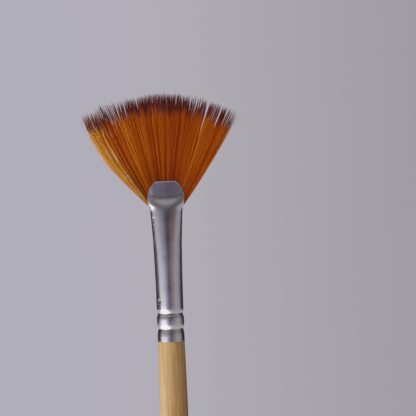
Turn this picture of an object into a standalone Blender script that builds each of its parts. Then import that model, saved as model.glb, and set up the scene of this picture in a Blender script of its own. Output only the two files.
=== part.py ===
"""Fan brush for artists' paint: wooden handle, drawn aluminium ferrule, fan of nylon filaments.

The brush stands on the butt end of its handle with its length along +Z. The fan spreads in
the XZ plane and is thin along Y. The origin is the centre of the flat butt end.
"""
import math

import bmesh
import bpy

MM = 0.001

# Driving dimensions, in millimetres.
FERRULE_FOOT = 134.0        # lower rim of the ferrule, above the butt end
FERRULE_LENGTH = 40.0       # lower rim to the top of the lips
TUBE_WALL = 0.3             # drawn aluminium
GAP = 0.3                   # clearance between neighbouring solids
BELLY_HEIGHT = 110.0        # thickest place of the handle
BELLY_RADIUS = 3.56
SHOULDER_RADIUS = 3.26      # handle where it meets the ferrule
BUTT_RADIUS = 1.9           # slim end of the handle, before its rounding
BUTT_FLAT_RADIUS = 1.1
BUTT_ROUNDING = 1.7         # height over which the butt end rounds off
TENON_LENGTH = 15.5         # part of the handle inside the ferrule
LIP_HALF_WIDTH = 4.61       # lips of the mouth, widest place
LIP_WIDEST_HEIGHT = 35.5    # above the ferrule's foot
LIP_ARCH_HEIGHT = 5.28      # half height of the ellipse that trims the lips
NOTCH_HEIGHT = 33.3         # lowest point of the side openings, above the foot
FAN_ROOT_Z = 167.7          # where the outermost filaments leave the mouth
FAN_ROOT_HALF_WIDTH = 4.25
TIP_ARC_Z = 160.2           # centre of the arc that the tips follow
TIP_ARC_RADIUS = 35.4
TIP_ARC_HALF_ANGLE = math.radians(32.0)
LEFT_BOW = (1.0, 3.9)       # how far the edge filaments bow outwards, low and high
RIGHT_BOW = (1.1, 0.9)
FLEX_Z = 177.0              # line about which the free filaments bend
LOCK_COUNT = 15
LOCK_HALF_THICKNESS = 0.7   # at the flex line
TIP_HALF_THICKNESS = 0.35

# Stations of the ferrule: height above its foot, half width, half thickness, squareness.
# The tube is round at the foot, has two rolled crimps, and is pressed flat at the mouth.
FERRULE_STATIONS = (
    (0.0, 3.36, 3.36, 2.0),
    (2.1, 3.29, 3.29, 2.0),
    (2.95, 3.13, 3.13, 2.0),
    (3.5, 3.32, 3.32, 2.0),
    (4.6, 3.40, 3.40, 2.0),
    (5.7, 3.32, 3.32, 2.0),
    (6.8, 3.06, 3.06, 2.0),
    (7.5, 3.28, 3.28, 2.0),
    (8.4, 3.31, 3.31, 2.0),
    (12.0, 3.26, 3.26, 2.0),
    (20.2, 3.41, 3.05, 2.0),
    (25.2, 3.52, 2.92, 2.0),
    (30.2, 3.74, 2.60, 2.1),
    (32.4, 3.95, 2.30, 2.2),
    (33.4, 4.25, 2.05, 2.3),
    (34.2, 4.85, 1.75, 2.6),
    (35.75, 5.25, 1.12, 3.4),
    (40.0, 5.25, 1.05, 3.8),
)

TURNED_STEPS = 24           # sides of a turned piece
TUBE_POINTS = 32            # points round one section of the ferrule


def material(name, color, roughness, metallic=0.0):
    """Principled material with one colour."""
    shade = bpy.data.materials.new(name)
    shade.use_nodes = True
    surface = shade.node_tree.nodes["Principled BSDF"]
    surface.inputs["Base Color"].default_value = (*color, 1.0)
    surface.inputs["Roughness"].default_value = roughness
    surface.inputs["Metallic"].default_value = metallic
    return shade


def add_object(name, mesh, shade, parent=None):
    """Link a mesh as a named object with its material, keeping it where it was modelled."""
    piece = bpy.data.objects.new(name, mesh)
    bpy.context.scene.collection.objects.link(piece)
    piece.data.materials.append(shade)
    if parent is not None:
        piece.parent = parent
        piece.matrix_parent_inverse = parent.matrix_world.inverted()
    return piece


def turned(name, profile, shade):
    """Piece turned about Z, from (radius, height) points that run down its outer side."""
    mesh = bpy.data.meshes.new(name)
    points = [(radius * MM, 0.0, height * MM) for radius, height in profile]
    edges = [(i, i + 1) for i in range(len(points) - 1)]
    mesh.from_pydata(points, edges, [])
    piece = add_object(name, mesh, shade)
    screw = piece.modifiers.new("turn", "SCREW")
    screw.axis = "Z"
    screw.angle = math.tau
    screw.steps = TURNED_STEPS
    screw.render_steps = TURNED_STEPS
    screw.use_merge_vertices = True
    screw.merge_threshold = 0.00001
    screw.use_smooth_shade = True
    return piece


def loft(name, rings, closed=False):
    """Mesh through rings of points given in millimetres, capped, or closed on itself."""
    build = bmesh.new()
    loops = [[build.verts.new((x * MM, y * MM, z * MM)) for x, y, z in ring] for ring in rings]
    pairs = list(zip(loops, loops[1:]))
    if closed:
        pairs.append((loops[-1], loops[0]))
    else:
        build.faces.new(reversed(loops[0]))
        build.faces.new(loops[-1])
    for low, high in pairs:
        for i in range(len(low)):
            j = (i + 1) % len(low)
            build.faces.new((low[i], low[j], high[j], high[i]))
    bmesh.ops.recalc_face_normals(build, faces=build.faces)
    mesh = bpy.data.meshes.new(name)
    build.to_mesh(mesh)
    build.free()
    mesh.shade_smooth()
    mesh.set_sharp_from_angle(angle=math.radians(40.0))
    return mesh


def oval(left, right, half_thickness, height, squareness, count):
    """Ring of points, a superellipse from x = left to x = right at one height."""
    middle = (left + right) / 2.0
    half_width = (right - left) / 2.0
    ring = []
    for i in range(count):
        angle = math.tau * (i + 0.5) / count
        cosine = math.cos(angle)
        sine = math.sin(angle)
        x = middle + half_width * math.copysign(abs(cosine) ** (2.0 / squareness), cosine)
        y = half_thickness * math.copysign(abs(sine) ** (2.0 / squareness), sine)
        ring.append((x, y, height))
    return ring


def ferrule_half_sizes(height):
    """Half width, half thickness and squareness of the tube's outside, above its foot."""
    for low, high in zip(FERRULE_STATIONS, FERRULE_STATIONS[1:]):
        if height <= high[0]:
            part = (height - low[0]) / (high[0] - low[0])
            return tuple(a + part * (b - a) for a, b in zip(low[1:], high[1:]))
    return FERRULE_STATIONS[-1][1:]


def handle_radius(height):
    """Radius of the handle's bare wood at a height above the butt end."""
    if height > BELLY_HEIGHT:
        part = (height - BELLY_HEIGHT) / (FERRULE_FOOT - BELLY_HEIGHT)
        return BELLY_RADIUS - (BELLY_RADIUS - SHOULDER_RADIUS) * part ** 2
    rise = math.sin(math.pi / 2.0 * height / BELLY_HEIGHT)
    return BUTT_RADIUS + (BELLY_RADIUS - BUTT_RADIUS) * rise


def tip_point(u):
    """Tip of the filament at place u across the fan, from -1 on the left to 1 on the right."""
    angle = u * TIP_ARC_HALF_ANGLE
    x = TIP_ARC_RADIUS * math.sin(angle)
    z = TIP_ARC_Z + TIP_ARC_RADIUS * math.cos(angle)
    return x, z


def filament_x(u, z):
    """Sideways place of filament u at a height: straight to its tip, plus its outward bow."""
    tip_x, tip_z = tip_point(u)
    part = (z - FAN_ROOT_Z) / (tip_z - FAN_ROOT_Z)
    low, high = LEFT_BOW if u < 0 else RIGHT_BOW
    bow = 3.0 * part * (1.0 - part) * ((1.0 - part) * low + part * high)
    root_x = u * FAN_ROOT_HALF_WIDTH
    return root_x + part * (tip_x - root_x) + math.copysign(bow * abs(u) ** 3, u)


def make_handle(shade):
    """Turned handle with a tenon that follows the ferrule's inside, crimps included."""
    profile = [(0.0, FERRULE_FOOT + TENON_LENGTH)]
    nose = 1.5
    profile.append((1.9, FERRULE_FOOT + TENON_LENGTH))
    profile.append((1.9, FERRULE_FOOT + TENON_LENGTH - nose))
    inset = TUBE_WALL + GAP
    tenon = [row for row in FERRULE_STATIONS if row[0] < TENON_LENGTH - nose - 1.0]
    profile.append((tenon[-1][1] - inset, FERRULE_FOOT + TENON_LENGTH - nose - 0.8))
    for height, radius, _, _ in reversed(tenon):
        profile.append((radius - inset, FERRULE_FOOT + height))
    shoulder = FERRULE_FOOT - GAP
    profile.append((tenon[0][1] - inset, shoulder))
    heights = [shoulder, 129.0, 124.0, 118.0, 110.0, 98.0, 84.0, 70.0, 55.0, 40.0, 25.0, 12.0, 5.0]
    profile += [(handle_radius(height), height) for height in heights]
    rounding_steps = 4
    for step in range(rounding_steps + 1):
        height = BUTT_ROUNDING * (1.0 - step / rounding_steps)
        swell = math.sqrt(1.0 - (1.0 - height / BUTT_ROUNDING) ** 2)
        full = handle_radius(BUTT_ROUNDING)
        profile.append((BUTT_FLAT_RADIUS + (full - BUTT_FLAT_RADIUS) * swell, height))
    profile.append((0.0, 0.0))
    return turned("handle", profile, shade)


def make_ferrule(shade):
    """Seamless tube: outside and inside lofted as one skin, then the mouth is trimmed."""
    outside = []
    inside = []
    for height, half_width, half_thickness, squareness in FERRULE_STATIONS:
        z = FERRULE_FOOT + height
        outside.append(oval(-half_width, half_width, half_thickness, z, squareness, TUBE_POINTS))
        inner_width = half_width - TUBE_WALL
        inner_thickness = half_thickness - TUBE_WALL
        inside.append(oval(-inner_width, inner_width, inner_thickness, z, squareness, TUBE_POINTS))
    rings = outside + inside[::-1]
    ferrule = add_object("ferrule", loft("ferrule", rings, closed=True), shade)
    trim = ferrule.modifiers.new("arched mouth", "BOOLEAN")
    trim.operation = "DIFFERENCE"
    trim.solver = "EXACT"
    trim.object = make_mouth_cutter()
    return ferrule


def make_mouth_cutter():
    """Block with an arched opening, which leaves two dome-shaped lips on the flattened tube."""
    centre = FERRULE_FOOT + LIP_WIDEST_HEIGHT
    notch = FERRULE_FOOT + NOTCH_HEIGHT
    reach = LIP_HALF_WIDTH + 3.0
    top = FERRULE_FOOT + FERRULE_LENGTH + 3.0
    start = math.asin((notch - centre) / LIP_ARCH_HEIGHT)
    steps = 22
    outline = [(-reach, notch)]
    for step in range(steps + 1):
        angle = math.pi - start - (math.pi - 2.0 * start) * step / steps
        x = LIP_HALF_WIDTH * math.cos(angle)
        outline.append((x, centre + LIP_ARCH_HEIGHT * math.sin(angle)))
    outline += [(reach, notch), (reach, top), (-reach, top)]
    depth = 5.0
    rings = [[(x, y, z) for x, z in outline] for y in (-depth, depth)]
    cutter = bpy.data.objects.new("mouth_cutter", loft("mouth_cutter", rings))
    bpy.context.scene.collection.objects.link(cutter)
    cutter.hide_render = True
    cutter.display_type = "WIRE"
    return cutter


def make_handle_glue(shade):
    """Cap of set glue over the tenon's nose, between the wood and the tube."""
    top = FERRULE_FOOT + TENON_LENGTH
    outer = 3.26 - TUBE_WALL - GAP
    inner = 1.9 + GAP
    low = top - 1.2
    profile = [
        (0.0, top + 0.9),
        (outer - 0.3, top + 0.9),
        (outer, top + 0.6),
        (outer, low),
        (inner, low),
        (inner, top + GAP),
        (0.0, top + GAP),
    ]
    return turned("handle_glue", profile, shade)


def make_root_epoxy(shade):
    """Cup of cured epoxy that holds the cut ends of the filaments."""
    low = 151.5
    high = 156.0
    outer = 3.3 - TUBE_WALL - GAP - 0.2
    inner = 1.8 + GAP
    profile = [
        (inner, high),
        (outer, high),
        (outer, low),
        (0.0, low),
        (0.0, low + 0.8),
        (inner, low + 0.8),
        (inner, high),
    ]
    return turned("root_epoxy", profile, shade)


def make_binding_thread(shade):
    """Three turns of waxed thread tied round the filaments just above the epoxy."""
    turns = 3
    points_per_turn = 18
    thread_radius = 0.18
    coil_radius = 1.95
    low = 157.0
    path = bpy.data.curves.new("binding_thread", "CURVE")
    path.dimensions = "3D"
    path.bevel_depth = thread_radius * MM
    path.bevel_resolution = 1
    path.use_fill_caps = True
    spline = path.splines.new("POLY")
    count = turns * points_per_turn + 1
    spline.points.add(count - 1)
    pitch = 2.0 * thread_radius + 0.12
    for i, point in enumerate(spline.points):
        angle = math.tau * i / points_per_turn
        height = low + pitch * i / points_per_turn
        x = coil_radius * math.cos(angle)
        y = coil_radius * math.sin(angle)
        point.co = (x * MM, y * MM, height * MM, 1.0)
    return add_object("binding_thread", path, shade)


def make_tuft_base(shade):
    """Gripped part of the filaments: round root, tied waist, flat in the mouth, then spread."""
    round_points = 24
    waist = 1.95 - 0.18 - GAP
    rings = [
        oval(-1.8, 1.8, 1.8, 152.6, 2.0, round_points),
        oval(-1.8, 1.8, 1.8, 155.9, 2.0, round_points),
        oval(-waist, waist, waist, 156.6, 2.0, round_points),
        oval(-waist, waist, waist, 158.6, 2.0, round_points),
    ]
    inset = TUBE_WALL + GAP
    for height in (26.5, 30.2, 32.4, 33.3):
        half_width, half_thickness, squareness = ferrule_half_sizes(height)
        left = -half_width + inset
        z = FERRULE_FOOT + height
        rings.append(oval(left, -left, half_thickness - inset, z, squareness, round_points))
    slot = ferrule_half_sizes(FERRULE_LENGTH)[1] - inset
    grip_squareness = 3.0
    edge_inset = 0.35
    for z in (168.0, 169.0, 170.0, 172.0, 174.0, FLEX_Z - LOCK_HALF_THICKNESS - GAP):
        left = filament_x(-1.0, z) + edge_inset
        right = filament_x(1.0, z) - edge_inset
        half_thickness = max(slot, ferrule_half_sizes(z - FERRULE_FOOT)[1] - inset)
        rings.append(oval(left, right, half_thickness, z, grip_squareness, round_points))
    return add_object("tuft_base", loft("tuft_base", rings), shade)


def make_lock(index, shade, pivot):
    """One lock of free filaments, a curved slab that starts round about the flex line."""
    edges = [-1.0 + 2.0 * (index + side) / LOCK_COUNT for side in (0, 1)]
    points = 12
    squareness = 4.0
    radius = LOCK_HALF_THICKNESS
    rings = []

    def ring(heights, half_thickness):
        left = filament_x(edges[0], heights[0]) + GAP / 2.0
        right = filament_x(edges[1], heights[1]) - GAP / 2.0
        section = oval(left, right, half_thickness, 0.0, squareness, points)
        slope = (heights[1] - heights[0]) / (right - left)
        return [(x, y, heights[0] + slope * (x - left)) for x, y, _ in section]

    for degrees in (12.0, 35.0, 62.0, 90.0):
        angle = math.radians(degrees)
        height = FLEX_Z - radius * math.cos(angle)
        rings.append(ring((height, height), radius * math.sin(angle)))
    steps = 6
    tips = [tip_point(edge)[1] for edge in edges]
    for step in range(1, steps + 1):
        part = step / steps
        heights = [FLEX_Z + part * (tip - FLEX_Z) for tip in tips]
        rings.append(ring(heights, radius + part * (TIP_HALF_THICKNESS - radius)))
    name = f"lock_{index + 1:02d}"
    return add_object(name, loft(name, rings), shade, pivot)


def main():
    for old in list(bpy.data.objects):
        bpy.data.objects.remove(old, do_unlink=True)
    wood = material("lacquered beech", (0.60, 0.40, 0.20), 0.38)
    aluminium = material("polished aluminium", (0.80, 0.80, 0.84), 0.18, 1.0)
    epoxy = material("cured epoxy", (0.70, 0.55, 0.28), 0.35)
    glue = material("set glue", (0.78, 0.72, 0.58), 0.5)
    thread = material("waxed thread", (0.82, 0.78, 0.70), 0.7)
    nylon = material("amber nylon", (0.45, 0.13, 0.02), 0.35)

    make_handle(wood)
    make_ferrule(aluminium)
    make_handle_glue(glue)
    make_root_epoxy(epoxy)
    make_binding_thread(thread)
    make_tuft_base(nylon)

    pivot = bpy.data.objects.new("tuft_flex_pivot", None)
    pivot.location = (0.0, 0.0, FLEX_Z * MM)
    bpy.context.scene.collection.objects.link(pivot)
    bpy.context.view_layer.update()
    for index in range(LOCK_COUNT):
        make_lock(index, nylon, pivot)


main()
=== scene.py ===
import math

import bpy
import numpy as np
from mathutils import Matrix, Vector


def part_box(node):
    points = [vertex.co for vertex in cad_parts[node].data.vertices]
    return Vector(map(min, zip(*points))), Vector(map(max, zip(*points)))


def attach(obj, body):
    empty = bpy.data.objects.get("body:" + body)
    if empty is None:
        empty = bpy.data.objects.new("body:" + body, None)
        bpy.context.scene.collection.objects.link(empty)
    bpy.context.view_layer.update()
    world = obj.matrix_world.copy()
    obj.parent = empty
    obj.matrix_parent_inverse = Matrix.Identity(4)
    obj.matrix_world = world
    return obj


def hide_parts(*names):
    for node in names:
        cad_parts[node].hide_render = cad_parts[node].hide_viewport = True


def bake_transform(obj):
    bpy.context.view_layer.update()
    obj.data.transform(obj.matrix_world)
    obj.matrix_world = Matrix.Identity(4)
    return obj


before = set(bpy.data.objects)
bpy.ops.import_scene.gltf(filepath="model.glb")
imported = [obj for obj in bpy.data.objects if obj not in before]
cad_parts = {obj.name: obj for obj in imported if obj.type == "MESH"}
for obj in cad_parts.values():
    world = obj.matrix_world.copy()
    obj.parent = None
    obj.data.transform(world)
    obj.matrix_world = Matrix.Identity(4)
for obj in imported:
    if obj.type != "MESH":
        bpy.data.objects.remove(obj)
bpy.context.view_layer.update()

# ---- Handle ------------------------------------------------------------------------------
# A slim handle turned from birch, thickest just below the ferrule and tapering to a rounded
# butt. It is dipped in clear lacquer after turning, and its tenon is crimped into the ferrule.

MM = 0.001
ferrule_low, ferrule_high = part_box("ferrule")
handle_low, handle_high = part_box("handle")
FOOT = ferrule_low[2]                       # lower rim of the ferrule
BELLY_Z = 110.0 * MM
BELLY_RADIUS = (handle_high[0] - handle_low[0]) / 2.0
NECK_RADIUS = 3.32 * MM                     # bare wood where it meets the ferrule
BUTT_RADIUS = 1.9 * MM
BUTT_FLAT = 1.1 * MM
BUTT_ROUNDING = 1.7 * MM
TENON_RADIUS = 2.5 * MM
TENON_TIP_RADIUS = 1.9 * MM
TENON_CHAMFER = 1.5 * MM
SHOULDER_ROUNDING = (0.1 * MM, 0.12 * MM)   # inwards and down from its rim
RIM_GAP = 0.04 * MM                         # between the shoulder and the ferrule's rim
HANDLE_SIDES = 96


def linear(hex_colour):
    """An sRGB hex colour as linear RGBA."""
    values = [int(hex_colour[i:i + 2], 16) / 255.0 for i in (0, 2, 4)]
    bent = [v / 12.92 if v <= 0.04045 else ((v + 0.055) / 1.055) ** 2.4 for v in values]
    return (*bent, 1.0)


def new_material(name):
    """A material with an empty node tree but for its output and a Principled surface."""
    material = bpy.data.materials.new(name)
    material.use_nodes = True
    tree = material.node_tree
    return material, tree, tree.nodes["Principled BSDF"]


def add_node(tree, kind, links=None, **settings):
    """Add a node with its settings; links gives each input a value or another node's socket."""
    node = tree.nodes.new(kind)
    for name, value in settings.items():
        setattr(node, name, value)
    for name, value in (links or {}).items():
        if isinstance(value, bpy.types.NodeSocket):
            tree.links.new(value, node.inputs[name])
        else:
            node.inputs[name].default_value = value
    return node


def set_ramp(node, stops):
    """Give a colour ramp its stops, each a position and an sRGB hex colour."""
    elements = node.color_ramp.elements
    while len(elements) > 1:
        elements.remove(elements[-1])
    elements[0].position = stops[0][0]
    elements[0].color = linear(stops[0][1])
    for position, colour in stops[1:]:
        element = elements.new(position)
        element.color = linear(colour)


def deselect_all():
    bpy.ops.object.select_all(action="DESELECT")


def start_edit(piece):
    """Go into edit mode on one piece."""
    deselect_all()
    piece.select_set(True)
    bpy.context.view_layer.objects.active = piece
    bpy.ops.object.mode_set(mode="EDIT")


def end_edit():
    bpy.ops.object.mode_set(mode="OBJECT")


def apply_place(piece):
    """Move a piece's place and size into its mesh."""
    deselect_all()
    piece.select_set(True)
    bpy.context.view_layer.objects.active = piece
    bpy.ops.object.transform_apply(location=True, rotation=True, scale=True)


def handle_radius(z):
    """Radius of the bare wood at a height: a long taper below the belly, a short one above."""
    if z > BELLY_Z:
        part = (z - BELLY_Z) / (FOOT - BELLY_Z)
        return BELLY_RADIUS - (BELLY_RADIUS - NECK_RADIUS) * part ** 2
    return BUTT_RADIUS + (BELLY_RADIUS - BUTT_RADIUS) * math.sin(math.pi / 2.0 * z / BELLY_Z)


def handle_stations():
    """Heights and radii up the handle: rounded butt, long taper, shoulder and tenon."""
    stations = []
    butt_steps = 7
    full = handle_radius(BUTT_ROUNDING)
    for step in range(1, butt_steps + 1):
        angle = math.pi / 2.0 * step / butt_steps
        z = BUTT_ROUNDING * (1.0 - math.cos(angle))
        stations.append((z, BUTT_FLAT + (full - BUTT_FLAT) * math.sin(angle)))
    body_steps = 44
    shoulder = FOOT - RIM_GAP
    inwards, down = SHOULDER_ROUNDING
    for step in range(1, body_steps + 1):
        z = BUTT_ROUNDING + (shoulder - down - BUTT_ROUNDING) * step / body_steps
        stations.append((z, handle_radius(z)))
    stations.append((shoulder, NECK_RADIUS - inwards))
    stations.append((shoulder, TENON_RADIUS))
    stations.append((handle_high[2] - TENON_CHAMFER, TENON_RADIUS))
    stations.append((handle_high[2], TENON_TIP_RADIUS))
    return stations


deselect_all()
bpy.ops.mesh.primitive_circle_add(vertices=HANDLE_SIDES, radius=BUTT_FLAT, fill_type="NGON")
turned_handle = bpy.context.object
turned_handle.name = "turned_handle"
start_edit(turned_handle)
bpy.ops.mesh.select_all(action="SELECT")
last_z, last_radius = 0.0, BUTT_FLAT
for z, radius in handle_stations():
    bpy.ops.mesh.extrude_region_move(TRANSFORM_OT_translate={"value": (0.0, 0.0, z - last_z)})
    scale = radius / last_radius
    bpy.ops.transform.resize(value=(scale, scale, 1.0))
    last_z, last_radius = z, radius
bpy.ops.mesh.select_all(action="SELECT")
bpy.ops.mesh.normals_make_consistent(inside=False)
end_edit()
bpy.ops.object.shade_smooth_by_angle(angle=math.radians(35.0))
apply_place(turned_handle)

# Birch under clear lacquer: pale straw wood with fine lengthwise grain and short brown flecks,
# and painted shade that browns its right side, away from the light. The lacquer gives it an even
# gloss over the softer wood.
birch, tree, surface = new_material("lacquered birch")
place = add_node(tree, "ShaderNodeTexCoord")
GRAIN_WIDTH = 0.45          # mm between the soft bands of the grain
GRAIN_LENGTH = 22.0         # mm that a band runs before it fades
BROAD_WIDTH = 2.381         # mm between the broad pale and tan bands
BROAD_LENGTH = 38.46
FLECK_WIDTH = 0.16
FLECK_LENGTH = 1.6
# Painted shade: the wood darkens towards its right side, away from the light.
SHADED_SIDE = (-2.4 * MM, 1.6 * MM)          # the wood browns between these two places across it
grain_map = add_node(
    tree, "ShaderNodeMapping",
    {"Vector": place.outputs["Object"],
     "Scale": (1000 / GRAIN_WIDTH, 1000 / GRAIN_WIDTH, 1000 / GRAIN_LENGTH)},
)
grain = add_node(
    tree, "ShaderNodeTexNoise",
    {"Vector": grain_map.outputs["Vector"], "Scale": 1.0, "Detail": 4.0, "Distortion": 0.3},
)
broad_map = add_node(
    tree, "ShaderNodeMapping",
    {"Vector": place.outputs["Object"],
     "Scale": (1000 / BROAD_WIDTH, 1000 / BROAD_WIDTH, 1000 / BROAD_LENGTH)},
)
broad = add_node(
    tree, "ShaderNodeTexNoise",
    {"Vector": broad_map.outputs["Vector"], "Scale": 1.0, "Detail": 2.0},
)
fleck_map = add_node(
    tree, "ShaderNodeMapping",
    {"Vector": place.outputs["Object"],
     "Scale": (1000 / FLECK_WIDTH, 1000 / FLECK_WIDTH, 1000 / FLECK_LENGTH)},
)
fleck = add_node(
    tree, "ShaderNodeTexNoise",
    {"Vector": fleck_map.outputs["Vector"], "Scale": 1.0, "Detail": 1.0},
)
grain_colour = add_node(tree, "ShaderNodeValToRGB", {"Fac": grain.outputs["Fac"]})
set_ramp(grain_colour, [(0.30, "D8B882"), (0.48, "E9D09C"), (0.70, "F8E4BA")])
broad_colour = add_node(tree, "ShaderNodeValToRGB", {"Fac": broad.outputs["Fac"]})
set_ramp(broad_colour, [(0.30, "D9B98A"), (0.70, "FFF4E0")])
toned = add_node(
    tree, "ShaderNodeMix",
    {"Factor": 0.7},
    data_type="RGBA", blend_type="MULTIPLY",
)
tree.links.new(grain_colour.outputs["Color"], toned.inputs["A"])
tree.links.new(broad_colour.outputs["Color"], toned.inputs["B"])
fleck_mask = add_node(
    tree, "ShaderNodeMapRange",
    {"Value": fleck.outputs["Fac"], "From Min": 0.63, "From Max": 0.72, "To Max": 0.45},
)
flecked = add_node(tree, "ShaderNodeMix", {"Factor": fleck_mask.outputs["Result"]}, data_type="RGBA")
tree.links.new(toned.outputs["Result"], flecked.inputs["A"])
flecked.inputs["B"].default_value = linear("8A6236")
# Painted shade: the handle's right side is multiplied browner and darker.
sideways = add_node(tree, "ShaderNodeSeparateXYZ", {"Vector": place.outputs["Object"]})
side_shade_mask = add_node(
    tree, "ShaderNodeMapRange",
    {"Value": sideways.outputs["X"], "From Min": SHADED_SIDE[0], "From Max": SHADED_SIDE[1]},
)
side_shaded = add_node(
    tree, "ShaderNodeMix",
    {"Factor": side_shade_mask.outputs["Result"]},
    data_type="RGBA", blend_type="MULTIPLY",
)
tree.links.new(flecked.outputs["Result"], side_shaded.inputs["A"])
side_shaded.inputs["B"].default_value = linear("DBC7AA")
tree.links.new(side_shaded.outputs["Result"], surface.inputs["Base Color"])
wood_gloss = add_node(
    tree, "ShaderNodeMapRange",
    {"Value": grain.outputs["Fac"], "To Min": 0.42, "To Max": 0.56},
)
tree.links.new(wood_gloss.outputs["Result"], surface.inputs["Roughness"])
grain_bump = add_node(
    tree, "ShaderNodeBump",
    {"Height": grain.outputs["Fac"], "Strength": 0.12, "Distance": 0.04 * MM},
)
tree.links.new(grain_bump.outputs["Normal"], surface.inputs["Normal"])
surface.inputs["IOR"].default_value = 1.5
surface.inputs["Coat Weight"].default_value = 0.7
surface.inputs["Coat Roughness"].default_value = 0.16
turned_handle.data.materials.append(birch)
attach(turned_handle, "brush")
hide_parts("handle")

# ---- Ferrule -----------------------------------------------------------------------------
# One piece of thin aluminium tube, drawn without a seam and polished. Two rolled crimps hold
# it on the tenon, and its mouth is pressed flat and trimmed to a pair of dome-shaped lips.

TUBE_WALL = 0.3 * MM
RIM_ROUNDING = 0.14 * MM
BARREL_RADIUS = 3.36 * MM
LIP_HALF_WIDTH = 4.61 * MM
LIP_CENTRE = 35.5 * MM      # height of the lips' widest place above the foot
LIP_ARCH = 5.28 * MM
NOTCH = 33.3 * MM           # where the lips' trimmed edge may begin at the sides
TUBE_LENGTH = ferrule_high[2] - FOOT
TUBE_SIDES = 144
CREASE_DIP = 0.04           # the press leaves a crease that smiles: mm of rise per mm squared

# Height above the foot, half width, half thickness and squareness of the section, all in mm.
TUBE_STATIONS = np.array((
    (0.0, 3.39, 3.39, 2.0),
    (0.7, 3.38, 3.38, 2.0),
    (1.3, 3.37, 3.37, 2.0),
    (1.9, 3.33, 3.33, 2.0),
    (2.35, 3.27, 3.27, 2.0),
    (2.75, 3.17, 3.17, 2.0),
    (3.0, 3.12, 3.12, 2.0),
    (3.25, 3.11, 3.11, 2.0),
    (3.45, 3.20, 3.20, 2.0),
    (3.7, 3.31, 3.31, 2.0),
    (4.1, 3.38, 3.38, 2.0),
    (4.6, 3.405, 3.405, 2.0),
    (5.3, 3.42, 3.42, 2.0),
    (5.85, 3.41, 3.41, 2.0),
    (6.25, 3.34, 3.34, 2.0),
    (6.65, 3.17, 3.17, 2.0),
    (6.9, 3.09, 3.09, 2.0),
    (7.05, 3.08, 3.08, 2.0),
    (7.3, 3.18, 3.18, 2.0),
    (7.65, 3.29, 3.29, 2.0),
    (8.1, 3.345, 3.345, 2.0),
    (8.8, 3.36, 3.36, 2.0),
    (12.0, 3.36, 3.33, 2.0),
    (16.0, 3.40, 3.25, 2.0),
    (20.2, 3.47, 3.11, 2.0),
    (25.2, 3.60, 2.83, 2.0),
    (30.2, 3.88, 2.43, 2.1),
    (32.8, 4.05, 2.13, 2.2),
    (33.5, 4.26, 2.00, 2.3),
    (34.2, 4.85, 1.75, 2.6),
    (35.75, 5.25, 1.12, 3.1),
    (40.0, 5.25, 1.05, 3.3),
))


def rounded_stations(softness):
    """The stations at close steps, their corners rounded over a short length, in mm."""
    step = 0.05
    heights = np.arange(-2.0, 42.0, step)
    reach = int(3 * softness / step)
    kernel = np.exp(-0.5 * (np.arange(-reach, reach + 1) * step / softness) ** 2)
    kernel /= kernel.sum()
    columns = []
    for column in range(1, 4):
        line = np.interp(heights, TUBE_STATIONS[:, 0], TUBE_STATIONS[:, column])
        columns.append(np.convolve(np.pad(line, reach, mode="edge"), kernel, mode="valid"))
    return heights, columns


soft_heights, soft_columns = rounded_stations(0.28)
crisp_heights, crisp_columns = rounded_stations(0.09)


def tube_section(height):
    """Half width, half thickness and squareness at a height above the foot, in mm."""
    crisp = height < 10.0
    heights, columns = (crisp_heights, crisp_columns) if crisp else (soft_heights, soft_columns)
    return [float(np.interp(height, heights, column)) for column in columns]


# Knocks in the thin tube: degrees round it from +X, height, radius and depth in mm.
DENTS = (
    (219.0, 10.1, 0.45, 0.10), (216.0, 9.2, 0.36, 0.08), (222.0, 8.6, 0.30, 0.05),
    (213.0, 29.0, 0.30, 0.05), (210.0, 29.9, 0.30, 0.06), (214.0, 30.8, 0.26, 0.05),
    (207.0, 27.6, 0.26, 0.04), (262.0, 21.5, 0.9, 0.03), (318.0, 15.0, 1.2, 0.03),
    (96.0, 17.0, 1.0, 0.03), (70.0, 26.0, 0.5, 0.05), (352.0, 24.0, 0.8, 0.04),
)
# The crimping rollers leave the edges of their two grooves slightly uneven: waves round the
# tube, their rise in mm and their start.
ROLLER_MARKS = ((3, 0.05, 0.4), (7, 0.04, 2.1), (17, 0.04, 5.0), (29, 0.03, 1.2))
GROOVES = (2.8, 6.5)
GROOVE_REACH = 0.5
THROAT_TOP = 31.0           # the press leaves its crease above this height
PAD_FOOT = 34.5             # the flat pads of the lips start here
PAD_FADE = 1.5
RIDGE_RISE = 0.012


def tube_point(angle, height):
    """A point of the tube's outside, in mm, at an angle round it and a height up it."""
    uneven = sum(rise * math.sin(turns * angle + start) for turns, rise, start in ROLLER_MARKS)
    groove = sum(math.exp(-((height - centre) / GROOVE_REACH) ** 2) for centre in GROOVES)
    half_width, half_thickness, squareness = tube_section(height + uneven * groove)
    for degrees, centre, reach, depth in DENTS:
        round_way = math.remainder(angle - math.radians(degrees), math.tau) * half_width
        knock = depth * math.exp(-(round_way ** 2 + (height - centre) ** 2) / reach ** 2)
        half_width -= knock
        half_thickness -= knock
    cosine, sine = math.cos(angle), math.sin(angle)
    x = half_width * math.copysign(abs(cosine) ** (2.0 / squareness), cosine)
    if height > THROAT_TOP:
        half_thickness = tube_section(height - CREASE_DIP * x * x)[1]
    # Filaments squeezed behind the lips leave faint ridges in the thin metal.
    if height > PAD_FOOT:
        ridges = 0.5 * math.sin(4.3 * x + 2.4) + math.sin(9.1 * x + 2.0)
        half_thickness += RIDGE_RISE * ridges * min(1.0, (height - PAD_FOOT) / PAD_FADE)
    y = half_thickness * math.copysign(abs(sine) ** (2.0 / squareness), sine)
    return x, y, height


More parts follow.
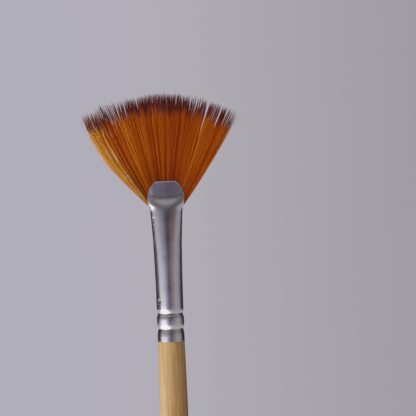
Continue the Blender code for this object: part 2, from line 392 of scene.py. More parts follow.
def lip_top(angle):
    """Height in mm at which the trimmed edge of the mouth cuts one side line of the tube."""
    low, high = NOTCH / MM, TUBE_LENGTH / MM
    centre, arch, width = LIP_CENTRE / MM, LIP_ARCH / MM, LIP_HALF_WIDTH / MM

    def outside(height):
        rise = (height - centre) / arch
        return abs(tube_point(angle, height)[0]) > width * math.sqrt(max(0.0, 1.0 - rise * rise))

    if not outside(high):
        return high
    # The height is closed in on by halving the gap between inside and outside.
    for _ in range(30):
        middle = (low + high) / 2.0
        low, high = (low, middle) if outside(middle) else (middle, high)
    return high


def ring_heights():
    """Heights of the tube's rings in mm, close together at the crimps and at the mouth."""
    crimps = np.arange(0.0, 11.0, 0.13)
    barrel = np.arange(11.0, 26.9, 0.35)
    shoulder = np.arange(27.0, 29.95, 0.15)
    return list(crimps) + list(barrel) + list(shoulder)


# The tube is a ring extruded upwards at an even step, and each ring then takes its real place:
# the lower ones at fixed heights, the upper ones spread up to the trimmed edge of the mouth.
deselect_all()
bpy.ops.mesh.primitive_circle_add(
    vertices=TUBE_SIDES, radius=BARREL_RADIUS, location=(0.0, 0.0, FOOT),
)
pressed_ferrule = bpy.context.object
pressed_ferrule.name = "pressed_ferrule"
apply_place(pressed_ferrule)
lower_rings = ring_heights()
MOUTH_RINGS = 34
MOUTH_START = 30.0
MOUTH_CROWDING = 1.6        # over 1, the rings crowd towards the trimmed edge
EDGE_FLARE = 0.035          # the press turns the lips' edge out by a hair, in mm
EDGE_FLARE_REACH = 0.4
start_edit(pressed_ferrule)
bpy.ops.mesh.select_all(action="SELECT")
for ring in range(len(lower_rings) + MOUTH_RINGS - 1):
    bpy.ops.mesh.extrude_region_move(TRANSFORM_OT_translate={"value": (0.0, 0.0, MM)})
end_edit()
side_tops = {}
for vertex in pressed_ferrule.data.vertices:
    ring = round((vertex.co.z - FOOT) / MM)
    angle = math.atan2(vertex.co.y, vertex.co.x)
    edge_flare = 0.0
    if ring < len(lower_rings):
        height = lower_rings[ring]
    else:
        side_line = round(math.degrees(angle) * TUBE_SIDES / 360.0)
        if side_line not in side_tops:
            side_tops[side_line] = lip_top(angle)
        top = side_tops[side_line]
        part = 1.0 - (1.0 - (ring - len(lower_rings) + 1) / MOUTH_RINGS) ** MOUTH_CROWDING
        height = MOUTH_START + (top - MOUTH_START) * part
        edge_flare = EDGE_FLARE * max(0.0, 1.0 - (top - height) / EDGE_FLARE_REACH) ** 2
    x, y, height = tube_point(angle, height)
    y += math.copysign(edge_flare, y)
    vertex.co = (x * MM, y * MM, FOOT + height * MM)
start_edit(pressed_ferrule)
bpy.ops.mesh.select_all(action="SELECT")
bpy.ops.mesh.normals_make_consistent(inside=False)
end_edit()
# An open tube has no inside to find, so its faces are turned outwards where they need it.
side_face = pressed_ferrule.data.polygons[0]
if side_face.normal.x * side_face.center.x + side_face.normal.y * side_face.center.y < 0.0:
    start_edit(pressed_ferrule)
    bpy.ops.mesh.select_all(action="SELECT")
    bpy.ops.mesh.flip_normals()
    end_edit()
wall = pressed_ferrule.modifiers.new("wall", "SOLIDIFY")
wall.thickness = TUBE_WALL
wall.offset = -1.0
wall.use_even_offset = True
rim = pressed_ferrule.modifiers.new("rim", "BEVEL")
rim.width = RIM_ROUNDING
rim.segments = 2
rim.limit_method = "ANGLE"
rim.angle_limit = math.radians(50.0)
bpy.context.view_layer.objects.active = pressed_ferrule
bpy.ops.object.modifier_apply(modifier="wall")
bpy.ops.object.modifier_apply(modifier="rim")
bpy.ops.object.shade_smooth_by_angle(angle=math.radians(40.0))

# Drawn and polished aluminium: a bright, slightly cool metal. Drawing leaves faint lines
# along the tube, and handling leaves soft haze and small pits.
aluminium, tree, surface = new_material("polished drawn aluminium")
place = add_node(tree, "ShaderNodeTexCoord")
DRAW_LINE = 0.3             # mm between drawing lines, far coarser than real ones so they show
DRAW_LENGTH = 18.0
HAZE_SPOT = 3.846
PIT_SPACING = 1.111
draw_map = add_node(
    tree, "ShaderNodeMapping",
    {"Vector": place.outputs["Object"],
     "Scale": (1000 / DRAW_LINE, 1000 / DRAW_LINE, 1000 / DRAW_LENGTH)},
)
draw_lines = add_node(
    tree, "ShaderNodeTexNoise",
    {"Vector": draw_map.outputs["Vector"], "Scale": 1.0, "Detail": 3.0},
)
haze = add_node(
    tree, "ShaderNodeTexNoise",
    {"Vector": place.outputs["Object"], "Scale": 1000 / HAZE_SPOT, "Detail": 4.0},
)
haze_roughness = add_node(
    tree, "ShaderNodeMapRange",
    {"Value": haze.outputs["Fac"], "From Min": 0.3, "From Max": 0.7, "To Min": 0.15, "To Max": 0.26},
)
tree.links.new(haze_roughness.outputs["Result"], surface.inputs["Roughness"])
metal_colour = add_node(tree, "ShaderNodeValToRGB", {"Fac": haze.outputs["Fac"]})
set_ramp(metal_colour, [(0.3, "DADADF"), (0.7, "E9E8EC")])
tree.links.new(metal_colour.outputs["Color"], surface.inputs["Base Color"])
line_bump = add_node(
    tree, "ShaderNodeBump",
    {"Height": draw_lines.outputs["Fac"], "Strength": 0.10, "Distance": 0.02 * MM},
)
pits = add_node(
    tree, "ShaderNodeTexVoronoi",
    {"Vector": place.outputs["Object"], "Scale": 1000 / PIT_SPACING},
    feature="F1",
)
pit_mask = add_node(
    tree, "ShaderNodeMapRange",
    {"Value": pits.outputs["Distance"], "From Min": 0.0, "From Max": 0.16},
)
pit_bump = add_node(
    tree, "ShaderNodeBump",
    {"Height": pit_mask.outputs["Result"], "Normal": line_bump.outputs["Normal"],
     "Strength": 0.25, "Distance": 0.03 * MM},
)
tree.links.new(pit_bump.outputs["Normal"], surface.inputs["Normal"])
surface.inputs["Metallic"].default_value = 1.0
pressed_ferrule.data.materials.append(aluminium)
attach(pressed_ferrule, "brush")
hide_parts("ferrule")

# ---- Glue, epoxy and thread ----------------------------------------------------------------
# Inside the tube: a cap of set glue on the tenon, a cup of cured epoxy round the cut ends of
# the filaments, and waxed thread tied round them. They keep their CAD shapes.


def mottled(name, dark, light, spot, roughness):
    """A dull material whose colour wanders between two tones over spots of a size in mm."""
    material, tree, surface = new_material(name)
    place = add_node(tree, "ShaderNodeTexCoord")
    spots = add_node(
        tree, "ShaderNodeTexNoise",
        {"Vector": place.outputs["Object"], "Scale": 1000 / spot, "Detail": 3.0},
    )
    tone = add_node(tree, "ShaderNodeValToRGB", {"Fac": spots.outputs["Fac"]})
    set_ramp(tone, [(0.35, dark), (0.65, light)])
    tree.links.new(tone.outputs["Color"], surface.inputs["Base Color"])
    lumps = add_node(
        tree, "ShaderNodeBump",
        {"Height": spots.outputs["Fac"], "Strength": 0.3, "Distance": 0.05 * MM},
    )
    tree.links.new(lumps.outputs["Normal"], surface.inputs["Normal"])
    surface.inputs["Roughness"].default_value = roughness
    return material


inner_finishes = {
    "handle_glue": mottled("set wood glue", "C9B98F", "E0D3AE", 1.2, 0.55),
    "root_epoxy": mottled("cured epoxy", "A87B38", "C79C57", 2.0, 0.25),
    "binding_thread": mottled("waxed cotton thread", "C9BFA8", "E6DFCC", 0.2, 0.7),
}
for node_name, finish in inner_finishes.items():
    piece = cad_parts[node_name]
    for material_slot in piece.material_slots:
        material_slot.material = finish

# ---- Filaments -----------------------------------------------------------------------------
# Tapered nylon filaments, amber with their tips dyed dark burgundy. They start in the epoxy as
# a round bundle, are pressed flat in the mouth, and spread from it into a thin fan.

# The lengths of this section are in mm. A filament's place across the fan is u, from -1 at the
# left edge to 1 at the right one.
LOCK_COUNT = 15
FILAMENTS_IN_LOCK = 116
FILAMENT_RADIUS = 0.055
TAPER_LENGTH = 5.5
TIP_SHARE = 0.25            # how thick a filament still is at its tip
FAN_ROOT_Z = 167.7
FAN_ROOT_HALF_WIDTH = 4.25
TIP_ARC_Z = 160.2
TIP_ARC_RADIUS = 36.0
TIP_ARC_HALF_ANGLE = math.radians(32.0)
LEFT_BOW = (1.9, 3.2)       # how far the edges bow outwards, low down and near the tips
RIGHT_BOW = (1.1, 0.9)
LEFT_EDGE_U = -1.03
RIGHT_EDGE_U = 0.99
LOCK_WIDTH_U = (RIGHT_EDGE_U - LEFT_EDGE_U) / LOCK_COUNT
LEFT_EXTRA_LENGTH = 1.0
BUNDLE_FOOT_Z = 152.7
BUNDLE_RADIUS = 1.65
WAIST_Z = 157.8
WAIST_RADIUS = 1.35
SLOT_HALF_THICKNESS = 0.66
TIP_CLUMPS = 92             # filaments cling together at their tips in small points
# Where the fan parts: place across it, depth below the tips and width.
PARTINGS = (
    (-0.91, 6.0, 0.06), (-0.86, 7.5, 0.05), (-0.80, 7.0, 0.04), (-0.74, 8.0, 0.04),
    (-0.69, 9.5, 0.06), (-0.645, 8.5, 0.10), (-0.60, 10.0, 0.14), (-0.555, 8.0, 0.10),
    (-0.51, 8.0, 0.10), (-0.47, 5.5, 0.05),
    (-0.34, 4.0, 0.10), (-0.20, 3.5, 0.07), (0.17, 3.5, 0.07), (0.45, 5.0, 0.10),
    (0.52, 6.5, 0.10), (0.60, 19.0, 0.40), (0.68, 5.5, 0.08), (0.79, 7.0, 0.18),
    (0.87, 6.0, 0.10), (0.94, 8.0, 0.10),
)
# Bent filaments that catch the light, shown as painted highlights: their places across the fan, by
# lock, and the stretches of them that shine, from the tip.
GLINTS = {0: (-0.945,), 1: (-0.886, -0.877)}
GLINT_REACHES = ((8.9, 12.2), (15.0, 15.7), (16.0, 17.3), (19.4, 21.8))
GLINT_FADE = 0.36
GLINT_GOLD = 1.0
OVERLAY = {0: 30, 1: 18}    # golden filaments that lie over the left edge of the fan
LOOSE_HAIRS = 13
STRAYS = {0: 14, LOCK_COUNT - 1: 8}
STRAYS_ELSEWHERE = 4
rng = np.random.default_rng(7)


def filament_x(u, z, tip_radius):
    """Sideways place of filament u at height z: straight to its tip, plus its outward bow."""
    angle = u * TIP_ARC_HALF_ANGLE
    tip_x = tip_radius * np.sin(angle)
    tip_z = TIP_ARC_Z + tip_radius * np.cos(angle)
    part = (z - FAN_ROOT_Z) / (tip_z - FAN_ROOT_Z)
    low, high = LEFT_BOW if u[0] < 0 else RIGHT_BOW
    bow = 3.0 * part * (1.0 - part) * ((1.0 - part) * low + part * high)
    root_x = np.clip(u, -1.0, 1.0) * FAN_ROOT_HALF_WIDTH
    return root_x + part * (tip_x - root_x) + np.sign(u) * bow * np.abs(u) ** 3


def smooth_step(value):
    """0 to 1 with a soft start and end."""
    value = np.clip(value, 0.0, 1.0)
    return value * value * (3.0 - 2.0 * value)


# One filament is modelled as a four-sided cone and cut into short lengths. Its rings then
# follow each filament's own line.
deselect_all()
bpy.ops.mesh.primitive_cone_add(vertices=4, radius1=1.0, radius2=0.0, depth=1.0, location=(0, 0, 0.5))
pattern = bpy.context.object
apply_place(pattern)
RING_PARTS = (0.12, 0.27, 0.36, 0.44, 0.53, 0.62, 0.70, 0.78, 0.85, 0.91, 0.96)
start_edit(pattern)
for part in RING_PARTS:
    bpy.ops.mesh.select_all(action="SELECT")
    bpy.ops.mesh.bisect(plane_co=(0.0, 0.0, part), plane_no=(0.0, 0.0, 1.0))
end_edit()
pattern_points = np.array([vertex.co for vertex in pattern.data.vertices])
pattern_faces = np.array([(list(face.vertices) + [-1])[:4] for face in pattern.data.polygons])
pattern_along = np.round(pattern_points[:, 2], 4)
stations, pattern_ring = np.unique(pattern_along, return_inverse=True)
cone_width = 1.0 - pattern_along
pattern_side = np.divide(
    pattern_points[:, :2], cone_width[:, None],
    out=np.zeros_like(pattern_points[:, :2]), where=cone_width[:, None] > 1e-6,
)
bpy.data.objects.remove(pattern)

# Tip clumps: where each one is across the fan, how long it is, its tone and its hold.
clump_u = np.linspace(LEFT_EDGE_U, RIGHT_EDGE_U, TIP_CLUMPS) + rng.normal(0.0, 0.005, TIP_CLUMPS)
clump_length = rng.normal(0.0, 0.12, TIP_CLUMPS) * (1.0 + np.abs(clump_u))
clump_tone = rng.uniform(0.0, 1.0, TIP_CLUMPS)
clump_pull = rng.uniform(0.15, 0.5, TIP_CLUMPS) + 0.30 * np.abs(clump_u)
clump_reach = rng.uniform(0.7, 1.3, TIP_CLUMPS)
clump_dye = rng.normal(0.0, 0.45, TIP_CLUMPS)
streak_tone = rng.uniform(0.0, 1.0, 120)    # streaks a few filaments wide


def golden_share_and_painted_light(u):
    """How golden the fan is across its width: in a few soft streaks, with painted light at both thin
    edges and a painted shadow beside the golden lock on the left.
    """
    share = 0.38
    # Painted light: the thin left edge lets light through and catches it, so it is lighter.
    share += 0.50 * math.exp(-((u + 1.02) / 0.12) ** 2)
    share += 0.17 * math.exp(-((u + 0.62) / 0.10) ** 2)
    share += 0.16 * math.exp(-((u - 0.67) / 0.10) ** 2)
    # Painted light: the thin right edge is lighter for the same reason.
    share += 0.30 * math.exp(-((u - 1.0) / 0.03) ** 2)
    share -= 0.12 * math.exp(-((u - 0.26) / 0.18) ** 2)
    # Painted shadow: the golden lock over the left edge shades the filaments just right of it.
    share -= 0.32 * math.exp(-((u + 0.79) / 0.055) ** 2)
    return share


def thinness(u):
    """How many filaments fall short of the tips: more of them in three parts of the fan."""
    share = 1.1 * math.exp(-((u + 0.74) / 0.21) ** 2)
    share += 0.8 * math.exp(-((u - 0.50) / 0.16) ** 2)
    return share + 0.7 * math.exp(-((u - 0.97) / 0.10) ** 2)


def filament_line(u, layer, lean, belly, clump, tip_radius):
    """One filament's line from the epoxy to its tip, and its distances from the tip."""
    tip_z = TIP_ARC_Z + tip_radius * math.cos(u * TIP_ARC_HALF_ANGLE)
    z = BUNDLE_FOOT_Z + stations * (tip_z - BUNDLE_FOOT_Z)
    from_tip = tip_z - z
    free = np.clip((z - FAN_ROOT_Z) / (tip_z - FAN_ROOT_Z), 0.0, 1.0)
    # It waves a little, is drawn to its clump near the tip, and makes way for the partings.
    home = clump_u[clump]
    reach = (3.0 + 3.0 * smooth_step((abs(u) - 0.2) / 0.6)) * clump_reach[clump]
    drawn = clump_pull[clump] * smooth_step(1.8 * (1.0 - from_tip / reach))
    places = u + 0.008 * np.sin(free * rng.uniform(2.0, 5.0) + rng.uniform(0.0, math.tau)) * free
    places += (home - places) * drawn
    for centre, depth, opening in PARTINGS:
        push = opening / TIP_ARC_RADIUS / TIP_ARC_HALF_ANGLE * math.exp(-abs(home - centre) / 0.03)
        places += math.copysign(push, home - centre) * np.clip(1.5 - 1.5 * from_tip / depth, 0.0, 1.0)
    x = filament_x(places, z, tip_radius) + lean * free ** 2.5 + belly * np.sin(math.pi * free) ** 2
    # The fan swells just above the mouth and is thin at the tips.
    fluff = 1.0 + 0.25 * smooth_step(free / 0.35) - 0.75 * smooth_step((free - 0.3) / 0.7)
    y = layer * SLOT_HALF_THICKNESS * fluff
    y += 0.05 * np.sin(free * rng.uniform(2.0, 6.0) + rng.uniform(0.0, math.tau)) * free
    # Below the mouth the flat sheet of filaments gathers into a round bundle.
    gather = 1.0 - smooth_step((z - WAIST_Z) / (FAN_ROOT_Z - WAIST_Z))
    bundle = np.interp(z, (BUNDLE_FOOT_Z + 2.0, WAIST_Z), (BUNDLE_RADIUS, WAIST_RADIUS))
    round_u, round_layer = np.clip((u, layer), -1.0, 1.0)
    round_x = bundle * round_u * math.sqrt(1.0 - round_layer ** 2 / 2.0)
    round_y = bundle * round_layer * math.sqrt(1.0 - round_u ** 2 / 2.0)
    x = x * (1.0 - gather) + round_x * gather
    y = y * (1.0 - gather) + round_y * gather
    return np.stack((x, y, z), axis=1), from_tip


def thread_round(line, from_tip, width):
    """The pattern's points set round one filament's line, closer to it towards the tip."""
    tangent = np.gradient(line, axis=0)
    tangent /= np.linalg.norm(tangent, axis=1)[:, None]
    side = np.cross(tangent, (0.0, 1.0, 0.0))
    side /= np.linalg.norm(side, axis=1)[:, None]
    front = np.cross(side, tangent)
    taper = 1.0 - (1.0 - TIP_SHARE) * np.clip(1.0 - from_tip / TAPER_LENGTH, 0.0, 1.0) ** 2.2
    radius = (FILAMENT_RADIUS * width * taper)[pattern_ring]
    points = line[pattern_ring]
    points = points + (radius * pattern_side[:, 0])[:, None] * side[pattern_ring]
    return points + (radius * pattern_side[:, 1])[:, None] * front[pattern_ring]


def lay_filament(u, layer, lean=0.0, belly=0.0, width=1.0, gold=0.0):
    """One filament at a place and layer of the fan: its points, depths from the tip and tones."""
    clump = int(np.argmin(np.abs(clump_u - u)))
    short = abs(rng.normal(0.0, 0.38 + 0.22 * abs(u)))
    short += thinness(u) * max(0.0, rng.uniform(-3.0, 6.0))
    tip_radius = TIP_ARC_RADIUS + clump_length[clump] - short
    tip_radius += LEFT_EXTRA_LENGTH * smooth_step((-u - 0.3) / 0.6)
    line, from_tip = filament_line(u, layer, lean, belly, clump, tip_radius)
    points = thread_round(line, from_tip, width)
    streak = streak_tone[int((u + 1.1) / 2.2 * len(streak_tone))]
    tone = golden_share_and_painted_light(u) + 0.12 * (clump_tone[clump] - 0.5) + 0.17 * (streak - 0.5)
    tone += 0.20 * (rng.uniform() - 0.5) + gold
    # The dye reaches unevenly far down, and farthest just right of the middle.
    depth = from_tip[pattern_ring] + 0.7 * short + clump_dye[clump] + rng.normal(0.0, 0.45)
    depth -= 0.9 * math.exp(-((u - 0.10) / 0.16) ** 2)
    # Only a glint reaches the top of the tone's range, and only the golden ones come near it.
    most = 1.0 if gold == GLINT_GOLD else 0.93 if gold > 0.1 else 0.84
    return points, depth, np.full(len(points), min(max(tone, 0.0), most))


def lay_lock(lock):
    """All the filaments of one lock, with those that lie over it and stray from it."""
    laid = []
    first_u = LEFT_EDGE_U + (RIGHT_EDGE_U - LEFT_EDGE_U) * lock / LOCK_COUNT
    for number in range(FILAMENTS_IN_LOCK):
        part = (number + rng.uniform()) / FILAMENTS_IN_LOCK
        # The fan thins out towards its two edges.
        if lock == 0:
            part = part ** 0.75
        elif lock == LOCK_COUNT - 1:
            part = 1.0 - (1.0 - part) ** 0.8
        u = first_u + LOCK_WIDTH_U * part
        laid.append(lay_filament(u, rng.uniform(-1.0, 1.0)))
    # A golden lock lies over the left edge of the fan; its golden tone is partly painted light, from
    # the light that catches it at the left.
    for number in range(OVERLAY.get(lock, 0)):
        u = LEFT_EDGE_U + LOCK_WIDTH_U * (lock + rng.uniform())
        layer, width, gold = rng.uniform((-1.35, 0.7, 0.11), (-0.95, 1.2, 0.6))
        laid.append(lay_filament(u, layer, width=width, gold=gold))
    # Where a few of them bend over the rest they catch the light: thin bright lines painted as
    # highlights in their colour.
    for u in GLINTS.get(lock, ()):
        laid.append(lay_filament(u, -1.7, width=1.25, gold=GLINT_GOLD))
    # Loose hairs bow out from the left edge.
    if lock == 0:
        for number in range(LOOSE_HAIRS):
            u = LEFT_EDGE_U + rng.uniform(0.0, 0.05)
            lean, belly = rng.uniform(-1.3, 0.4), -rng.uniform(0.0, 1.3)
            laid.append(lay_filament(u, rng.uniform(-1.0, 1.0), lean, belly, width=0.9, gold=0.4))
    # A few filaments stray from each lock, more of them and farther at the two edges.
    for number in range(STRAYS.get(lock, STRAYS_ELSEWHERE)):
        u = first_u + LOCK_WIDTH_U * rng.uniform()
        outer = abs(u) > 0.88
        outwards = math.copysign(1.0, u) * (1.0 if outer else 0.3)
        lean = outwards * rng.uniform(-0.2, 1.5)
        belly = outwards * rng.uniform(-0.1, 0.7)
        gold = 0.5 if outer else 0.08
        laid.append(lay_filament(u, rng.uniform(-1.2, 1.2), lean, belly, width=0.8, gold=gold))
    return laid


# Amber nylon: a glossy plastic thread that light partly passes through, so a thick stack looks deep
# orange brown and a thin one golden; that light through the fan is painted into its colour. The tips
# are dipped in burgundy dye.
nylon, tree, surface = new_material("amber nylon filament")
tip_distance = add_node(tree, "ShaderNodeAttribute", attribute_name="from_tip")
tone = add_node(tree, "ShaderNodeAttribute", attribute_name="tone")
amber = add_node(tree, "ShaderNodeValToRGB", {"Fac": tone.outputs["Fac"]})
set_ramp(amber, [
    (0.0, "A03402"), (0.35, "D25E02"), (0.62, "E48406"), (0.84, "F0A22C"), (0.93, "F8B448"),
])
# Painted highlights: the glint filaments turn pale along the stretches where they catch the light.
glint_filament = add_node(
    tree, "ShaderNodeMapRange",
    {"Value": tone.outputs["Fac"], "From Min": 0.95, "From Max": 0.98},
)
RAMP_LENGTH = 30.0          # mm of filament that the ramp of glints covers
along = add_node(
    tree, "ShaderNodeMapRange",
    {"Value": tip_distance.outputs["Fac"], "From Max": RAMP_LENGTH},
)
flash = add_node(tree, "ShaderNodeValToRGB", {"Fac": along.outputs["Result"]})
flashes = [(0.0, "000000")]
for low, high in GLINT_REACHES:
    flashes += [(low, "000000"), (low + GLINT_FADE, "FFFFFF")]
    flashes += [(high - GLINT_FADE, "FFFFFF"), (high, "000000")]
set_ramp(flash, [(distance / RAMP_LENGTH, colour) for distance, colour in flashes])
glinting = add_node(tree, "ShaderNodeMath", operation="MULTIPLY")
tree.links.new(glint_filament.outputs["Result"], glinting.inputs[0])
tree.links.new(flash.outputs["Color"], glinting.inputs[1])
# Painted highlight: the amber is mixed towards pale cream there.
golden = add_node(tree, "ShaderNodeMix", {"Factor": glinting.outputs["Value"]}, data_type="RGBA")
tree.links.new(amber.outputs["Color"], golden.inputs["A"])
golden.inputs["B"].default_value = linear("FFE8B4")
burgundy = add_node(tree, "ShaderNodeValToRGB", {"Fac": tone.outputs["Fac"]})
set_ramp(burgundy, [(0.0, "5A2222"), (0.4, "82382E"), (1.0, "A86052")])
dyed = add_node(
    tree, "ShaderNodeMapRange",
    {"Value": tip_distance.outputs["Fac"], "From Min": 2.9, "From Max": 5.4,
     "To Min": 1.0, "To Max": 0.0},
    interpolation_type="SMOOTHSTEP",
)
nylon_colour = add_node(tree, "ShaderNodeMix", {"Factor": dyed.outputs["Result"]}, data_type="RGBA")
# Painted shade: near the mouth the filaments crowd together and shade each other, so their colour is
# darkened there.
root_shade_mask = add_node(
    tree, "ShaderNodeMapRange",
    {"Value": tip_distance.outputs["Fac"], "From Min": 15.0, "From Max": 22.0, "To Max": 0.75},
)
root_shaded = add_node(
    tree, "ShaderNodeMix",
    {"Factor": root_shade_mask.outputs["Result"]},
    data_type="RGBA", blend_type="MULTIPLY",
)
tree.links.new(golden.outputs["Result"], root_shaded.inputs["A"])
root_shaded.inputs["B"].default_value = linear("C4A488")
tree.links.new(root_shaded.outputs["Result"], nylon_colour.inputs["A"])
tree.links.new(burgundy.outputs["Color"], nylon_colour.inputs["B"])
tree.links.new(nylon_colour.outputs["Result"], surface.inputs["Base Color"])
surface.inputs["Roughness"].default_value = 0.26
surface.inputs["IOR"].default_value = 1.53
surface.inputs["Specular IOR Level"].default_value = 0.3

# Each lock is one mesh, and its vertices keep their depth from the tip and their tone.
for lock in range(LOCK_COUNT):
    laid = lay_lock(lock)
    count = len(pattern_points)
    points, depths, tones = (np.concatenate(values) for values in zip(*laid))
    mesh = bpy.data.meshes.new(f"filaments_{lock + 1:02d}")
    faces = [
        [int(corner) + number * count for corner in face if corner >= 0]
        for number in range(len(laid)) for face in pattern_faces
    ]
    mesh.from_pydata((points * MM).tolist(), [], faces)
    for name, values in (("from_tip", depths), ("tone", tones)):
        attribute = mesh.attributes.new(name, "FLOAT", "POINT")
        attribute.data.foreach_set("value", values.astype(np.float32))
    mesh.shade_smooth()
    mesh.materials.append(nylon)
    filaments = bpy.data.objects.new(f"filaments_{lock + 1:02d}", mesh)
    bpy.context.scene.collection.objects.link(filaments)
    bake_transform(filaments)
    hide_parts(f"lock_{lock + 1:02d}", "tuft_base")

# ---- Studio --------------------------------------------------------------------------------
# A pale floor under the butt, a plain lilac-grey backdrop, and soft light: a low card on the
# left, a fill panel at the left front, and a panel high at the back that lights the floor.

FLOOR_RADIUS = 0.8
FLOOR_GAP = 0.2 * MM        # keeps the floor just clear of the butt
deselect_all()
bpy.ops.mesh.primitive_circle_add(
    vertices=96, radius=FLOOR_RADIUS, fill_type="NGON", location=(0.0, 0.0, -FLOOR_GAP),
)
floor = bpy.context.object
floor.name = "studio_floor"
floor_paint, tree, surface = new_material("pale studio floor")
surface.inputs["Base Color"].default_value = linear("DCDBDF")
surface.inputs["Roughness"].default_value = 0.8
floor.data.materials.append(floor_paint)

# What surrounds the brush, by azimuth: a white wall on the left, a dim room in front, a grey
# wall on the right, and dark gaps between these and the backdrop. The walls grow dimmer and
# warmer with height, and over them is a pale ceiling.
world = bpy.data.worlds.new("studio")
bpy.context.scene.world = world
world.use_nodes = True
tree = world.node_tree
direction = add_node(tree, "ShaderNodeTexCoord")
parts = add_node(tree, "ShaderNodeSeparateXYZ", {"Vector": direction.outputs["Generated"]})
towards_front = add_node(tree, "ShaderNodeMath", operation="MULTIPLY")
tree.links.new(parts.outputs["Y"], towards_front.inputs[0])
towards_front.inputs[1].default_value = -1.0
azimuth = add_node(tree, "ShaderNodeMath", operation="ARCTAN2")
tree.links.new(parts.outputs["X"], azimuth.inputs[0])
tree.links.new(towards_front.outputs["Value"], azimuth.inputs[1])
turn = add_node(
    tree, "ShaderNodeMapRange",
    {"Value": azimuth.outputs["Value"], "From Min": -math.pi, "From Max": math.pi},
)


def colours_by_azimuth(stops):
    """A ramp round the brush: degrees from the front, left negative, and the colour there."""
    ramp = add_node(tree, "ShaderNodeValToRGB", {"Fac": turn.outputs["Result"]})
    set_ramp(ramp, [((degrees + 180.0) / 360.0, colour) for degrees, colour in stops])
    return ramp.outputs["Color"]


surroundings = colours_by_azimuth([
    (-172, "AEACB5"), (-162, "322E30"), (-112, "342F33"), (-98, "606064"), (-86, "A6A4A8"),
    (-72, "BAB9BE"), (-52, "BAB9C2"), (-34, "A8A7B8"), (-20, "9696A8"), (-10, "787A8A"),
    (-3, "5F5266"), (7, "60545F"), (16, "7C747A"), (32, "887E84"), (42, "9C9294"), (58, "A8A0A6"),
    (78, "9E979C"), (92, "928C92"), (103, "747176"), (112, "383234"), (160, "302A2C"),
    (172, "AEACB5"),
])
dimming = add_node(
    tree, "ShaderNodeMapRange",
    {"Value": parts.outputs["Z"], "From Min": 0.02, "From Max": 0.14},
)
level = add_node(
    tree, "ShaderNodeMix",
    {"Factor": dimming.outputs["Result"]},
    data_type="RGBA", blend_type="MULTIPLY",
)
tree.links.new(surroundings, level.inputs["A"])
level.inputs["B"].default_value = linear("D8D0C6")
overhead = colours_by_azimuth([
    (-165, "322C2E"), (-125, "4A484E"), (-95, "B0AEB2"), (-55, "A09EA4"), (-28, "82808A"),
    (0, "625F60"), (20, "646060"), (45, "6E6A6C"), (75, "868084"), (100, "7A7478"), (115, "3C3838"),
])
underneath = colours_by_azimuth([
    (-176, "302A2C"), (-168, "D0CED4"), (-100, "DCDAE0"), (-60, "CFCED6"), (-34, "A8A6BC"),
    (-10, "84869A"), (0, "6E6874"), (12, "857D84"), (40, "A49A9E"), (60, "B2AAB0"), (92, "A8A2A6"),
    (104, "8C8688"), (116, "4A4244"), (165, "302A2C"),
])


def blend_by_height(low_z, high_z, below, above):
    """World colour that goes over from one socket to another between two sines of height."""
    rise = add_node(
        tree, "ShaderNodeMapRange",
        {"Value": parts.outputs["Z"], "From Min": low_z, "From Max": high_z},
    )
    mixed = add_node(tree, "ShaderNodeMix", {"Factor": rise.outputs["Result"]}, data_type="RGBA")
    tree.links.new(below, mixed.inputs["A"])
    tree.links.new(above, mixed.inputs["B"])
    return mixed.outputs["Result"]


ceiling = add_node(tree, "ShaderNodeRGB")
ceiling.outputs["Color"].default_value = linear("C0BEC2")
sky = blend_by_height(-0.16, -0.09, underneath, level.outputs["Result"])
sky = blend_by_height(0.26, 0.45, sky, overhead)
sky = blend_by_height(0.55, 0.85, sky, ceiling.outputs["Color"])
tree.links.new(sky, tree.nodes["Background"].inputs["Color"])
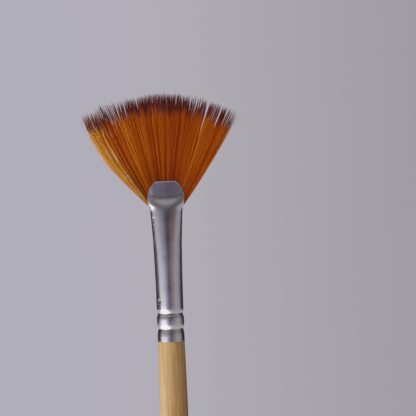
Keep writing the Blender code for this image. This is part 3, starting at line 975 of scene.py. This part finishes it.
# The camera itself sees a plain backdrop, a little darker towards the right.
across = add_node(
    tree, "ShaderNodeMapRange",
    {"Value": parts.outputs["X"], "From Min": -0.12, "From Max": 0.12},
)
backdrop = add_node(tree, "ShaderNodeValToRGB", {"Fac": across.outputs["Result"]})
set_ramp(backdrop, [(0.0, "B0AEB9"), (0.35, "B1AEB8"), (0.5, "AEABB3"), (1.0, "9F9CA3")])
seen = add_node(tree, "ShaderNodeBackground", {"Color": backdrop.outputs["Color"]})
rays = add_node(tree, "ShaderNodeLightPath")
either = add_node(tree, "ShaderNodeMixShader", {"Fac": rays.outputs["Is Camera Ray"]})
tree.links.new(tree.nodes["Background"].outputs["Background"], either.inputs[1])
tree.links.new(seen.outputs["Background"], either.inputs[2])
tree.links.new(either.outputs["Shader"], tree.nodes["World Output"].inputs["Surface"])

HEAD = Vector((0.0, 0.0, 0.165))


def panel(name, position, width, height, power, aim=HEAD):
    """A soft panel of light, aimed at the head of the brush and unseen by the camera."""
    light = bpy.data.lights.new(name, "AREA")
    light.shape = "RECTANGLE"
    light.size = width
    light.size_y = height
    light.energy = power
    light.color = (1.0, 0.965, 0.92)
    lamp = bpy.data.objects.new(name, light)
    lamp.location = position
    lamp.rotation_euler = (Vector(position) - aim).to_track_quat("Z", "Y").to_euler()
    lamp.visible_camera = False
    bpy.context.scene.collection.objects.link(lamp)
    return lamp


# A white card leans low on the left, and a panel high at the back lights the floor.
panel(
    "low_card", (-0.17, -0.10, 0.062), width=0.34, height=0.30, power=0.21,
    aim=Vector((-0.100, -0.059, 0.245)),
)
panel(
    "high_panel", (0.0, 0.45, 0.85), width=0.7, height=0.7, power=2.9,
    aim=Vector((0.0, 0.0, 0.0)),
)
# The fill isn't mirrored in the ferrule.
fill_panel = panel("fill_panel", (-0.38, -0.42, 0.24), width=0.5, height=0.5, power=1.15)
fill_panel.visible_glossy = False

# The camera looks level at the head of the brush, rolled so that the brush leans a little.
VIEW_CENTRE = Vector((10.43 * MM, 0.0, 166.9 * MM))
FRAME_WIDTH = 104.0 * MM
LEAN = math.radians(2.2)
view = bpy.data.cameras.new("camera")
view.lens = 150.0
view.sensor_width = 36.0
view.clip_start = 0.01
camera = bpy.data.objects.new("camera", view)
camera.location = VIEW_CENTRE - Vector((0.0, FRAME_WIDTH * view.lens / view.sensor_width, 0.0))
camera.rotation_euler = (math.radians(90.0), LEAN, 0.0)
bpy.context.scene.collection.objects.link(camera)
bpy.context.scene.camera = camera
bpy.context.scene.view_settings.view_transform = "Standard"
